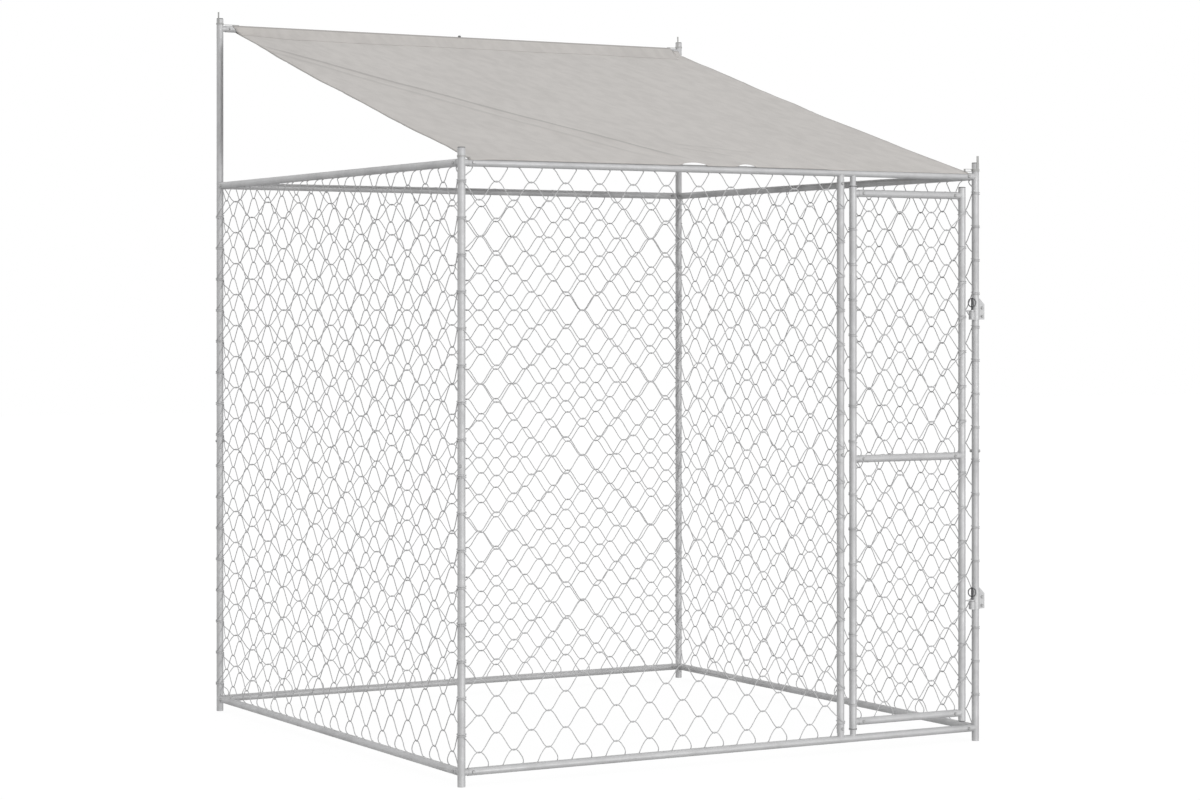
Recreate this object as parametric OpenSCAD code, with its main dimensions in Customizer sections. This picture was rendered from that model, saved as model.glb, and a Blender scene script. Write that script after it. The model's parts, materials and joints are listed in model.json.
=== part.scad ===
// Outdoor dog kennel run: a bolted tube frame with chain-link walls, a pivoting door with two
// drop-pin latches, and a cloth roof that falls from the back rail to the front rail.
// The front with the door faces -Y, the ground is z = 0, and the origin is the middle of the
// part's box at ground level.

/* [Footprint] */
// Distance between post centres along the front
post_pitch_x = 1975; // [1400:5:3000]
// Distance between post centres from front to back
post_pitch_y = 1975; // [1200:5:3000]

/* [Heights] */
// Height of the front posts with their caps
front_post_h = 1985; // [1750:1:2300]
// Height of the back posts with their caps
back_post_h = 2555; // [2250:1:2900]
// Height of the bottom rails' axis
bottom_rail_z = 45; // [35:1:60]
// Distance of the top rails' axis below the top of the front posts
top_head = 48; // [40:1:70]
// Distance of the roof rail's axis below the top of the back posts
roof_head = 38; // [36:1:70]
// Height of the seam between the lower and upper post sections
post_joint_z = 970; // [800:1:1100]

/* [Tubes] */
// Outside diameter of every frame tube
tube_d = 25; // [22:0.5:28]
// Wall of a frame tube
tube_wall = 1.2; // [0.8:0.1:1.6]
// Wall of a stub that a tube slips over
stub_wall = 1.5; // [1:0.1:2.5]
// Length of a stub from the surface that it stands on
stub_len = 55; // [40:1:80]
// Bare length of stub between that surface and the tube's end
rail_gap = 8; // [2:0.5:12]
// Radial clearance of a tube on its stub
slip = 0.1; // [0.05:0.05:0.3]
// Length of a post's narrowed end inside the upper section
spigot_len = 60; // [45:1:100]
// Length of the taper below that narrowed end
swage_len = 5; // [3:1:15]
// Height of the flange on a tube's cap
cap_t = 3; // [2:0.5:6]
// Depth of a cap's plug inside its tube
cap_plug = 14; // [8:1:20]

/* [Bolts] */
// Diameter of the frame bolts
bolt_d = 6; // [5:0.5:8]
// Radial clearance of a bolt in its hole
bolt_play = 0.2; // [0.1:0.05:0.4]
// Diameter of a bolt's domed head
head_d = 11; // [9:0.5:13]
// Height of that head
head_h = 4; // [3:0.5:6]
// Width of a nut across its flats
nut_af = 10; // [9:0.5:13]
// Height of a nut
nut_h = 5; // [4:0.5:7]
// Thread that stands out past a nut
bolt_tail = 2; // [1:0.5:5]
// Distance of a rail's bolt from the axis of the tube that it joins
bolt_from_tube = 36; // [32:0.5:44]
// Distance of a post's bolt above the seam
bolt_above_joint = 25; // [15:1:35]

/* [Door] */
// Distance between the axes of the two door stiles
door_w = 451; // [380:1:700]
// Distance between the latch stile's axis and the front right post's axis
latch_gap = 57; // [54:0.5:60]
// Distance between the hinge stile's axis and the fixed door post's axis
hinge_gap = 50; // [42:1:70]
// Distance of the door's bottom rail above the run's bottom rail
door_sill = 55; // [50:1:75]
// Height of the door's middle rail
door_mid_z = 980; // [800:1:1200]
// Distance of the door's top rail below the run's top rail
door_head = 67; // [62:1:90]
// Length of the hinge stile past the axes of the top and bottom rails
hinge_over = 22; // [18:1:24]
// Length of the latch stile past those axes, with its caps
latch_over = 30; // [20:1:34]

/* [Hinge pivots] */
// Diameter of the fixed pivots that the hinge stile turns on
pivot_d = 20; // [16:0.5:20]
// Length of a pivot inside the hinge stile
pivot_in = 40; // [25:1:60]
// Radial running clearance of a bush on its pivot
pivot_play = 0.06; // [0.02:0.01:0.1]
// Radial clearance of a bush in the hinge stile
bush_play = 0.05; // [0.02:0.01:0.1]
// Length of a bush inside the hinge stile
bush_len = 30; // [15:1:40]
// Diameter of a bush's flange and of the collar under it
bush_flange_d = 27; // [26:0.5:32]
// Thickness of a bush's flange
bush_flange_t = 2; // [1.5:0.5:4]
// Thickness of the collar that carries the door
collar_t = 3; // [2:0.5:5]
// Running gap between the collar and the bush's flange
collar_gap = 0.2; // [0.1:0.05:0.4]

/* [Latches] */
// Height of the lower latch clamp's bottom edge
latch_low_z = 453; // [300:1:700]
// Height of the upper latch clamp's bottom edge
latch_high_z = 1446; // [1150:1:1600]
// Height of a latch clamp
clamp_h = 72; // [66:1:90]
// Thickness of the clamp's strap
clamp_t = 2.5; // [2:0.5:4]
// Slit between the clamp's two flanges
clamp_slit = 1.5; // [1:0.5:3]
// Reach of the flanges past the post's surface
flange_reach = 24; // [22:0.5:30]
// Size of the corner cut off the flanges' top
flange_cut = 20; // [5:0.5:20]
// Height of the lower clamp bolt above the clamp's bottom edge
clamp_bolt_low = 11; // [9:0.5:14]
// Distance between the two clamp bolts
clamp_bolt_pitch = 29; // [20:1:32]
// Distance of the drop pin's axis from the post's axis, along the front
pin_off = 21; // [20.5:0.5:24]
// Distance of the drop pin's axis in front of the post's axis
pin_fwd = 9.5; // [9:0.5:11]
// Diameter of the drop pin
pin_d = 5; // [4.5:0.5:6]
// Radial running clearance of the drop pin in its eye
pin_play = 0.08; // [0.03:0.01:0.1]
// Travel of the drop pin from drawn to locked
pin_travel = 8; // [6:0.5:12]
// Diameter of the socket's bore
socket_bore = 10.4; // [9:0.2:11]
// Height of the socket block
socket_h = 26; // [22:1:30]
// Wall of the socket block round its bore
socket_wall = 4; // [2.5:0.5:4.5]
// Outside diameter of the eye
eye_d = 14; // [12:0.5:14.5]
// Height of the eye
eye_h = 6; // [6:0.5:8]
// Diameter of the rod that carries the eye
eye_shank = 5; // [4:0.5:5.5]
// Gap between the eye and the socket block under it
eye_gap = 1; // [0.5:0.1:2]
// Gap between the eye and the stop behind it
stop_gap = 0.4; // [0.3:0.1:1]
// Thickness of that stop
stop_t = 2.5; // [2:0.5:4]
// Outside height of the pin's pull loop
loop_h = 33; // [32:1:45]
// Outside width of the pull loop
loop_w = 30; // [24:1:31]
// Diameter of the rod that the pull loop is bent from
loop_rod = 4; // [3:0.5:5]
// Turn of the pull loop from the front's direction
loop_turn = 50; // [40:5:70]

/* [Chain link] */
// Thickness of the wire
wire_d = 2.2; // [1.8:0.1:3]
// Width of one diamond
diamond_w = 162; // [150:1:240]
// Height of one diamond
diamond_h = 155; // [150:1:240]
// Overlap of two hooked bends, in wire thicknesses
hook_lap = 1.6; // [1:0.1:3]
// Gap between two hooked wires
wire_gap = 0.4; // [0.2:0.1:1]
// Gap between the wires and the tubes that they hang on
net_gap = 0.3; // [0.2:0.1:0.6]

/* [Roof] */
// Thickness of the roof cloth
cloth_t = 2; // [1.5:0.1:4]
// Gap between the cloth and the rails
cloth_gap = 0.3; // [0.2:0.1:0.6]
// Angle of the front hem round its rail
front_hem_deg = 40; // [20:5:45]
// Length of the back hem's flap under the cloth
back_flap = 40; // [20:5:120]
// Distance of the cloth's front left corner from the post's axis
roof_front_left = 20; // [18:1:60]
// Distance of the cloth's front right corner from the post's axis
roof_front_right = 36; // [20:1:70]
// Distance of the cloth's back left corner from the post's axis
roof_back_left = 66; // [30:1:90]
// Reach of the cloth past the back right post's axis
roof_back_right = 12; // [0:1:20]
// Clearance of the cloth's cut-out round the back right post
roof_post_gap = 8; // [5:1:12]
// Clearance of the back sleeve's ends from the roof rail's bolts
sleeve_bolt_gap = 2; // [1:0.5:10]

/* [Corner ties] */
// Thickness of a tie's strap
tie_t = 1.4; // [1:0.1:2]
// Width of a tie's strap
tie_w = 5.5; // [3:0.5:7]
// Width of the front right tie's strap
wide_tie_w = 9; // [9:0.5:11]
// Height of the front right tie's loop
tie_loop_h = 8.5; // [6:0.5:8.5]
// Length of a tie's hold on the cloth
tie_hold = 10; // [6:1:20]
// Reach of a tie's tail above its post
tie_tail = 22; // [10:1:30]

/* [Hidden] */

$fn = 48;

// Heights of the rails
top_rail_z = front_post_h - top_head;
roof_rail_z = back_post_h - roof_head;
door_low_z = bottom_rail_z + door_sill;
door_top_z = top_rail_z - door_head;

// Tube radii, and the tubes' ends measured from the axis of the tube that they meet
tube_r = tube_d / 2;
bore_d = tube_d - 2 * tube_wall;
slip_d = bore_d - 2 * slip;
tube_end = tube_r + rail_gap;
stub_end = tube_r + stub_len;
joint_bolt_z = post_joint_z + bolt_above_joint;

// Plan: the post axes, set so that the origin is the middle of the part's box
side_reach = tube_r + head_h;
latch_reach = tube_r + flange_reach;
loop_reach = pin_fwd + (loop_w - loop_rod) / 2 * sin(loop_turn) + loop_rod / 2;
left_x = -(post_pitch_x + latch_reach - side_reach) / 2;
right_x = left_x + post_pitch_x;
front_y = -(post_pitch_y + side_reach - loop_reach) / 2;
back_y = front_y + post_pitch_y;
latch_x = right_x - latch_gap;
hinge_x = latch_x - door_w;
door_post_x = hinge_x - hinge_gap;

// Turns about Z that point a part's own -Y side outward, or its own +X side along a rail
FRONT = 0;
RIGHT = 90;
BACK = 180;
LEFT = -90;
ALONG_X = 0;
ALONG_Y = 90;
AGAINST_X = 180;
AGAINST_Y = -90;
FRONT_LEFT = 225;

// Colours of the bare model
GALVANISED = "silver";
BRIGHT_ZINC = "gainsboro";
DARK_PLASTIC = "dimgray";
GREY_CLOTH = "#c6c2be";
TIE_PLASTIC = "lightgray";

// Basic shapes

module rod_z(d, z0, z1) {
  translate([0, 0, z0]) cylinder(d = d, h = z1 - z0);
}

module rod_x(d, x0, x1) {
  translate([x0, 0, 0]) rotate([0, 90, 0]) cylinder(d = d, h = x1 - x0);
}

// A straight tube along Z
module tube_z(z0, z1) {
  difference() {
    rod_z(tube_d, z0, z1);
    rod_z(bore_d, z0 - 1, z1 + 1);
  }
}

// The drilling for one bolt, along Y
module bolt_hole(d = bolt_d + 2 * bolt_play) {
  rotate([90, 0, 0]) cylinder(d = d, h = 2 * tube_d, center = true);
}

// Bolts and nuts: the head points to -Y, and grip is half the thickness between head and nut

module bolt(grip) {
  end = -grip - nut_h - bolt_tail;
  rotate([90, 0, 0]) rotate_extrude()
    polygon([
      [0, end], [bolt_d / 2, end], [bolt_d / 2, grip], [head_d / 2, grip],
      [head_d / 2, grip + head_h / 3], [head_d / 3, grip + head_h], [0, grip + head_h]
    ]);
}

module nut(grip) {
  across_corners = nut_af / cos(30);
  rotate([90, 0, 0]) translate([0, 0, -grip - nut_h]) difference() {
    cylinder(d = across_corners, h = nut_h, $fn = 6);
    translate([0, 0, -1]) cylinder(d = bolt_d + bolt_play, h = nut_h + 2);
  }
}

// Stubs: each stands on a tube at the origin and points along its own +X

module stub_body() rod_x(slip_d, 0, stub_end);

module stub_cut() {
  rod_x(slip_d - 2 * stub_wall, tube_r, stub_end + 1);
  translate([bolt_from_tube, 0, 0]) bolt_hole();
}

// Posts

// Outline of a lower section from z0 up, narrowed at its top to enter the upper section
module swaged_profile(z0) {
  top = post_joint_z + spigot_len;
  taper = post_joint_z - swage_len;
  polygon([
    [bore_d / 2, z0], [tube_r, z0], [tube_r, taper], [slip_d / 2, post_joint_z], [slip_d / 2, top],
    [slip_d / 2 - tube_wall, top], [slip_d / 2 - tube_wall, post_joint_z], [bore_d / 2, taper]
  ]);
}

// stub_turns are the directions of the rails that leave the post, out_turn is its outer corner
module post_lower(x, y, stub_turns, out_turn) {
  color(GALVANISED) translate([x, y, 0]) difference() {
    union() {
      rotate_extrude() swaged_profile(0);
      difference() {
        for (turn = stub_turns) translate([0, 0, bottom_rail_z]) rotate(turn) stub_body();
        rod_z(bore_d, 0, post_joint_z);
      }
    }
    for (turn = stub_turns) translate([0, 0, bottom_rail_z]) rotate(turn) stub_cut();
    translate([0, 0, joint_bolt_z]) rotate(out_turn) bolt_hole();
  }
}

// stubs lists [height, turn] of each rail that leaves the post
module post_upper(x, y, height, stubs, out_turn) {
  color(GALVANISED) translate([x, y, 0]) difference() {
    union() {
      rod_z(tube_d, post_joint_z, height - cap_t);
      for (s = stubs) translate([0, 0, s[0]]) rotate(s[1]) stub_body();
    }
    rod_z(bore_d, post_joint_z - 1, height);
    for (s = stubs) translate([0, 0, s[0]]) rotate(s[1]) stub_cut();
    translate([0, 0, joint_bolt_z]) rotate(out_turn) bolt_hole();
  }
}

CORNER_FL = (FRONT + LEFT) / 2;
CORNER_FR = (FRONT + RIGHT) / 2;
CORNER_BL = -(BACK + RIGHT) / 2;
CORNER_BR = (BACK + RIGHT) / 2;

module front_left_post_lower() post_lower(left_x, front_y, [ALONG_X, ALONG_Y], CORNER_FL);
module front_right_post_lower() post_lower(right_x, front_y, [AGAINST_X, ALONG_Y], CORNER_FR);
module back_left_post_lower() post_lower(left_x, back_y, [ALONG_X, AGAINST_Y], CORNER_BL);
module back_right_post_lower() post_lower(right_x, back_y, [AGAINST_X, AGAINST_Y], CORNER_BR);

module front_left_post_upper()
  post_upper(left_x, front_y, front_post_h, [[top_rail_z, ALONG_X], [top_rail_z, ALONG_Y]], CORNER_FL);

module front_right_post_upper()
  post_upper(right_x, front_y, front_post_h, [[top_rail_z, AGAINST_X], [top_rail_z, ALONG_Y]], CORNER_FR);

module back_left_post_upper()
  post_upper(left_x, back_y, back_post_h,
    [[top_rail_z, ALONG_X], [top_rail_z, AGAINST_Y], [roof_rail_z, ALONG_X]], CORNER_BL);

module back_right_post_upper()
  post_upper(right_x, back_y, back_post_h,
    [[top_rail_z, AGAINST_X], [top_rail_z, AGAINST_Y], [roof_rail_z, AGAINST_X]], CORNER_BR);

// The fixed post beside the door, slipped over stubs on the front rails

module door_post_lower() {
  z0 = bottom_rail_z + tube_end;
  color(GALVANISED) translate([door_post_x, front_y, 0]) difference() {
    rotate_extrude() swaged_profile(z0);
    translate([0, 0, bottom_rail_z + bolt_from_tube]) bolt_hole();
    translate([0, 0, joint_bolt_z]) bolt_hole();
  }
}

module door_post_upper() {
  color(GALVANISED) translate([door_post_x, front_y, 0]) difference() {
    tube_z(post_joint_z, top_rail_z - tube_end);
    translate([0, 0, top_rail_z - bolt_from_tube]) bolt_hole();
    translate([0, 0, joint_bolt_z]) bolt_hole();
  }
}

// Rails

// A rail along +X between two tube axes that are span apart, from the first axis
module rail(span) {
  difference() {
    rod_x(tube_d, tube_end, span - tube_end);
    rail_cut(span);
  }
}

module rail_cut(span) {
  rod_x(bore_d, 0, span);
  for (x = [bolt_from_tube, span - bolt_from_tube]) translate([x, 0, 0]) bolt_hole();
}

module side_rail(x, z) color(GALVANISED) translate([x, front_y, z]) rotate(ALONG_Y) rail(post_pitch_y);

module cross_rail(z) color(GALVANISED) translate([left_x, back_y, z]) rail(post_pitch_x);

// A front rail with the door post's stub and the hinge pivot on it, pointing to its own +Z
module front_rail(pivot_end, collar_top) {
  post_at = door_post_x - left_x;
  hinge_at = hinge_x - left_x;
  difference() {
    union() {
      rod_x(tube_d, tube_end, post_pitch_x - tube_end);
      translate([post_at, 0, 0]) rotate([0, -90, 0]) stub_body();
      translate([hinge_at, 0, 0]) {
        rod_z(pivot_d, 0, pivot_end);
        rod_z(bush_flange_d, collar_top - collar_t, collar_top);
      }
    }
    rail_cut(post_pitch_x);
    translate([post_at, 0, 0]) rotate([0, -90, 0]) stub_cut();
    translate([hinge_at, 0, 0]) rod_z(pivot_d - 2 * stub_wall, tube_r, pivot_end + 1);
  }
}

// The pivots reach from each front rail into the hinge stile, with a collar short of its end
stile_z0 = door_low_z - hinge_over;
stile_z1 = door_top_z + hinge_over;
flange_room = bush_flange_t + collar_gap;

module front_bottom_rail() {
  color(GALVANISED) translate([left_x, front_y, bottom_rail_z])
    front_rail(stile_z0 + pivot_in - bottom_rail_z, stile_z0 - flange_room - bottom_rail_z);
}

module front_top_rail() {
  color(GALVANISED) translate([left_x, front_y, top_rail_z]) mirror([0, 0, 1])
    front_rail(top_rail_z - stile_z1 + pivot_in, top_rail_z - stile_z1 - flange_room);
}

module back_bottom_rail() cross_rail(bottom_rail_z);
module back_top_rail() cross_rail(top_rail_z);
module roof_rail() cross_rail(roof_rail_z);
module left_bottom_rail() side_rail(left_x, bottom_rail_z);
module left_top_rail() side_rail(left_x, top_rail_z);
module right_bottom_rail() side_rail(right_x, bottom_rail_z);
module right_top_rail() side_rail(right_x, top_rail_z);

// Caps: a plug whose low dome covers the tube's end at z = 0

module tube_cap() {
  rotate_extrude() polygon([
    [0, -cap_plug], [slip_d / 2, -cap_plug], [slip_d / 2, 0], [tube_r, 0],
    [tube_r, cap_t / 2], [tube_r - cap_t / 2, cap_t], [0, cap_t]
  ]);
}

module post_caps() {
  color(DARK_PLASTIC) {
    for (x = [left_x, right_x]) {
      translate([x, front_y, front_post_h - cap_t]) tube_cap();
      translate([x, back_y, back_post_h - cap_t]) tube_cap();
    }
  }
}

// Frame bolts: [place, turn of the head's side] of every bolt in the fixed frame

rail_bolt_x = [left_x + bolt_from_tube, right_x - bolt_from_tube];
rail_bolt_y = [front_y + bolt_from_tube, back_y - bolt_from_tube];
frame_bolt_places = concat(
  [for (x = rail_bolt_x, z = [bottom_rail_z, top_rail_z]) [[x, front_y, z], FRONT]],
  [for (x = rail_bolt_x, z = [bottom_rail_z, top_rail_z, roof_rail_z]) [[x, back_y, z], BACK]],
  [for (y = rail_bolt_y, z = [bottom_rail_z, top_rail_z]) [[left_x, y, z], LEFT]],
  [for (y = rail_bolt_y, z = [bottom_rail_z, top_rail_z]) [[right_x, y, z], RIGHT]],
  [for (z = [bottom_rail_z + bolt_from_tube, joint_bolt_z, top_rail_z - bolt_from_tube])
    [[door_post_x, front_y, z], FRONT]],
  [
    [[left_x, front_y, joint_bolt_z], CORNER_FL], [[right_x, front_y, joint_bolt_z], CORNER_FR],
    [[left_x, back_y, joint_bolt_z], CORNER_BL], [[right_x, back_y, joint_bolt_z], CORNER_BR]
  ]
);

module frame_bolts() {
  color(BRIGHT_ZINC) for (b = frame_bolt_places) translate(b[0]) rotate(b[1]) bolt(tube_r);
}

module frame_nuts() {
  color(BRIGHT_ZINC) for (b = frame_bolt_places) translate(b[0]) rotate(b[1]) nut(tube_r);
}

// Chain link: zigzag wires stacked from the bottom up, whose bends hook behind one another.
// A net stands in its own XZ plane, between tubes whose axes are w and h apart.

// The nearest even number of half diamonds, so that both edges of a net end alike
function half_diamonds(length, diamond) = 2 * max(1, round(length / diamond));

// Height of the wire's bend i, where first says whether bend 0 is a top bend
function bend_z(i, first, rise) = (i + first) % 2 == 1 ? rise : 0;

module zigzag_wire(step, rise, cols, first) {
  half_depth = wire_d / 2 * sqrt(1 + pow(rise / step, 2));
  lower = [for (i = [0:cols]) [i * step, bend_z(i, first, rise) - half_depth]];
  upper = [for (i = [cols:-1:0]) [i * step, bend_z(i, first, rise) + half_depth]];
  rotate([90, 0, 0]) linear_extrude(wire_d) polygon(concat(lower, upper));
}

// first_r is the radius of what the wires start at, where that isn't the bare tube
module wire_net(w, h, first_r = tube_r) {
  edge = tube_r + net_gap;
  start = first_r + net_gap;
  lap = hook_lap * wire_d;
  cols = half_diamonds(w - 2 * edge, diamond_w);
  rows = half_diamonds(h - 2 * edge, diamond_h);
  step = (w - start - edge) / cols;
  // The bends' tips stand half a wire past their centre line, measured along the slope
  tip = wire_d / 2 * sqrt(1 + pow(((h - 2 * edge) / rows + lap) / step, 2));
  pitch = (h - 2 * edge - 2 * tip - lap) / rows;
  color(GALVANISED) for (k = [0:rows - 1]) {
    layer = k % 2 == 0 ? wire_d + wire_gap / 2 : -wire_gap / 2;
    translate([start, layer, edge + tip + k * pitch])
      zigzag_wire(step, pitch + lap, cols, (k + 1) % 2);
  }
}

module front_net() {
  translate([left_x, front_y, bottom_rail_z]) wire_net(door_post_x - left_x, top_rail_z - bottom_rail_z);
}

module back_net() {
  translate([left_x, back_y, bottom_rail_z]) wire_net(post_pitch_x, top_rail_z - bottom_rail_z);
}

module side_net(x, first_r) {
  translate([x, front_y, bottom_rail_z]) rotate(ALONG_Y)
    wire_net(post_pitch_y, top_rail_z - bottom_rail_z, first_r);
}

// The right net starts clear of the latch clamps on the front right post
module left_net() side_net(left_x, tube_r);
module right_net() side_net(right_x, clamp_R);

module door_net(z0, z1) translate([hinge_x, front_y, z0]) wire_net(door_w, z1 - z0);

module door_lower_net() door_net(door_low_z, door_mid_z);
module door_upper_net() door_net(door_mid_z, door_top_z);

// Roof cloth: a sheet on the slope of the two rails, hemmed round the front rail and sewn into
// a sleeve round the back one. Its own X runs along the rails, its own Y up the slope.

roof_rise = roof_rail_z - top_rail_z;
roof_slope = atan2(roof_rise, post_pitch_y);
roof_len = norm([post_pitch_y, roof_rise]);
cloth_r = tube_r + cloth_gap;
cloth_R = cloth_r + cloth_t;
roof_cut = tube_r + roof_post_gap;
sleeve_end = bolt_from_tube + head_d / 2 + sleeve_bolt_gap;
sleeve_left = max(roof_back_left, sleeve_end);

// Part of the ring of cloth round a rail, from a0 to a1 degrees, in the plane across the rail
module hem_ring(a0, a1) {
  far = 2 * cloth_R;
  middle = (a0 + a1) / 2;
  intersection() {
    difference() {
      circle(r = cloth_R);
      circle(r = cloth_r);
    }
    polygon([[0, 0], for (a = [a0, middle, a1]) far * [cos(a), sin(a)]]);
  }
}

// Moves a shape in the plane across the rails onto the slope, from x0 to x1
module along_rails(x0, x1) {
  translate([x0, 0, 0]) rotate([90, 0, 90]) linear_extrude(x1 - x0) children();
}

module roof_cloth() {
  front_x = [left_x + roof_front_left, right_x - roof_front_right];
  back_x = [left_x + roof_back_left, right_x - roof_cut];
  color(GREY_CLOTH) translate([0, front_y, top_rail_z]) rotate([roof_slope, 0, 0]) {
    translate([0, 0, cloth_r]) linear_extrude(cloth_t) polygon([
      [front_x[0], 0], [front_x[1], 0], [right_x + roof_back_right, roof_len - roof_cut],
      [back_x[1], roof_len - roof_cut], [back_x[1], roof_len], [back_x[0], roof_len]
    ]);
    along_rails(front_x[0], front_x[1]) hem_ring(90, 90 + front_hem_deg);
    along_rails(left_x + sleeve_left, right_x - sleeve_end) translate([roof_len, 0]) {
      hem_ring(0, 90);
      hem_ring(-90, 0);
      translate([-back_flap, -cloth_R]) square([back_flap, cloth_t]);
    }
  }
}

// Corner ties: a strap round the post, a hold that reaches out over the cloth, and a tail up the
// post. hold_turn points to the cloth, tail_turn to the side of the post where the tail stands.

module hold_strap(z, edge, width, height, hold_turn) {
  ring_r = tube_r + slip;
  start = ring_r + tie_t / 2;
  length = edge + tie_hold - start;
  translate([0, 0, z]) {
    difference() {
      rod_z(2 * (ring_r + tie_t), 0, width);
      rod_z(2 * ring_r, -1, width + 1);
    }
    rotate(hold_turn) translate([start, -width / 2, 0]) {
      cube([length, width, tie_t]);
      if (height > tie_t) {
        translate([0, 0, height - tie_t]) cube([length, width, tie_t]);
        translate([length - tie_t, 0, 0]) cube([tie_t, width, height]);
      }
    }
  }
}

module tail_strap(z, top, width, tail_turn) {
  rotate(tail_turn) translate([tube_r + slip, -width / 2, z]) cube([tie_t, width, top - z]);
}

// Height of the cloth's top above the front rail's axis, under the uphill edge of a strap
function front_rest(width) = cloth_R / cos(roof_slope) + width / 2 * tan(roof_slope) + cloth_gap;

module roof_ties() {
  left_z = top_rail_z + front_rest(tie_w);
  right_z = top_rail_z + front_rest(wide_tie_w);
  back_z = roof_rail_z + cloth_R + cloth_gap;
  color(TIE_PLASTIC) {
    translate([left_x, front_y, 0]) hold_strap(left_z, roof_front_left, tie_w, tie_t, ALONG_X);
    translate([right_x, front_y, 0]) {
      hold_strap(right_z, roof_front_right, wide_tie_w, tie_loop_h, AGAINST_X);
      tail_strap(right_z, front_post_h + tie_tail, wide_tie_w, AGAINST_Y);
    }
    translate([left_x, back_y, 0]) {
      hold_strap(back_z, sleeve_left, tie_w, tie_t, ALONG_X);
      tail_strap(back_z, back_post_h + tie_tail, tie_w, FRONT_LEFT);
    }
    translate([right_x, back_y, 0]) {
      hold_strap(back_z, sleeve_end, tie_w, tie_t, AGAINST_X);
      tail_strap(back_z, back_post_h + tie_tail, tie_w, FRONT_LEFT);
    }
  }
}

// Latches: a strap clamped round the front right post, with a socket block at its front left.
// The door's eye stands over the socket, and the pin in the eye drops into it.

clamp_r = tube_r + slip;
clamp_R = clamp_r + clamp_t;
clamp_bolt_x = (clamp_R + latch_reach) / 2;
clamp_grip = clamp_slit / 2 + clamp_t;
clamp_bolt_z = [clamp_bolt_low, clamp_bolt_low + clamp_bolt_pitch];
latch_zs = [latch_low_z, latch_high_z];
pin_at = [-pin_off, -pin_fwd, 0];
socket_r = socket_bore / 2 + socket_wall;
// The block is a little narrower than its round end, so that the two meet at an edge
block_w = 2 * socket_r - 1;
stop_y = eye_d / 2 + stop_gap - pin_fwd;
eye_z = socket_h + eye_gap + eye_h / 2;

module clamp_strap() {
  difference() {
    linear_extrude(clamp_h) difference() {
      union() {
        circle(r = clamp_R);
        translate([0, -clamp_grip]) square([latch_reach, 2 * clamp_grip]);
      }
      circle(r = clamp_r);
      translate([0, -clamp_slit / 2]) square([latch_reach + 1, clamp_slit]);
    }
    translate([latch_reach, 0, clamp_h]) rotate([0, 45, 0])
      cube([flange_cut * sqrt(2), tube_d, flange_cut * sqrt(2)], center = true);
    for (z = clamp_bolt_z) translate([clamp_bolt_x, 0, z]) bolt_hole();
  }
}

// The block ends round where the pin drops, and its stop stands behind the eye
module socket_block() {
  inner_r = clamp_r + clamp_t / 2;
  linear_extrude(socket_h) difference() {
    union() {
      rotate(atan2(-pin_fwd, -pin_off)) translate([0, -block_w / 2]) square([norm(pin_at), block_w]);
      translate([-pin_off, -pin_fwd]) circle(r = socket_r);
    }
    circle(r = inner_r);
    translate([-pin_off, -pin_fwd]) circle(d = socket_bore);
  }
  linear_extrude(eye_z + eye_h / 2) difference() {
    translate([-pin_off - eye_d / 2, stop_y]) square([pin_off, stop_t]);
    circle(r = inner_r);
  }
}

module latch_clamp(z) {
  color(GALVANISED) translate([right_x, front_y, z]) {
    clamp_strap();
    socket_block();
  }
}

module lower_latch_clamp() latch_clamp(latch_low_z);
module upper_latch_clamp() latch_clamp(latch_high_z);

module latch_bolts() {
  color(BRIGHT_ZINC) for (z = latch_zs, b = clamp_bolt_z)
    translate([right_x + clamp_bolt_x, front_y, z + b]) bolt(clamp_grip);
}

module latch_nuts() {
  color(BRIGHT_ZINC) for (z = latch_zs, b = clamp_bolt_z)
    translate([right_x + clamp_bolt_x, front_y, z + b]) nut(clamp_grip);
}

// The pin stands drawn, its tip just inside the eye, and runs up through its pull loop
module latch_pin(z) {
  tip = eye_z - eye_h / 2 + eye_gap / 2;
  neck = eye_z + eye_h / 2 + pin_travel + eye_gap / 2;
  bend_r = (loop_w - loop_rod) / 2;
  leg = loop_h - loop_rod - 2 * bend_r;
  color(BRIGHT_ZINC) translate([right_x, front_y, z] + pin_at) {
    rod_z(pin_d, tip, neck + loop_h - loop_rod / 2);
    translate([0, 0, neck + loop_rod / 2 + bend_r]) rotate([90, 0, -loop_turn]) {
      rotate([0, 0, 180]) rotate_extrude(angle = 180) translate([bend_r, 0]) circle(d = loop_rod);
      translate([0, leg, 0]) rotate_extrude(angle = 180) translate([bend_r, 0]) circle(d = loop_rod);
      for (side = [-1, 1]) translate([side * bend_r, 0, 0]) rotate([-90, 0, 0])
        cylinder(d = loop_rod, h = leg);
    }
  }
}

module lower_latch_pin() latch_pin(latch_low_z);
module upper_latch_pin() latch_pin(latch_high_z);

// Door

door_rail_zs = [door_low_z, door_mid_z, door_top_z];
latch_z0 = door_low_z - latch_over;
latch_z1 = door_top_z + latch_over;

module door_hinge_stile() {
  color(GALVANISED) translate([hinge_x, front_y, 0]) difference() {
    union() {
      rod_z(tube_d, stile_z0, stile_z1);
      for (z = door_rail_zs) translate([0, 0, z]) stub_body();
    }
    rod_z(bore_d, stile_z0 - 1, stile_z1 + 1);
    for (z = door_rail_zs) translate([0, 0, z]) stub_cut();
  }
}

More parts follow.
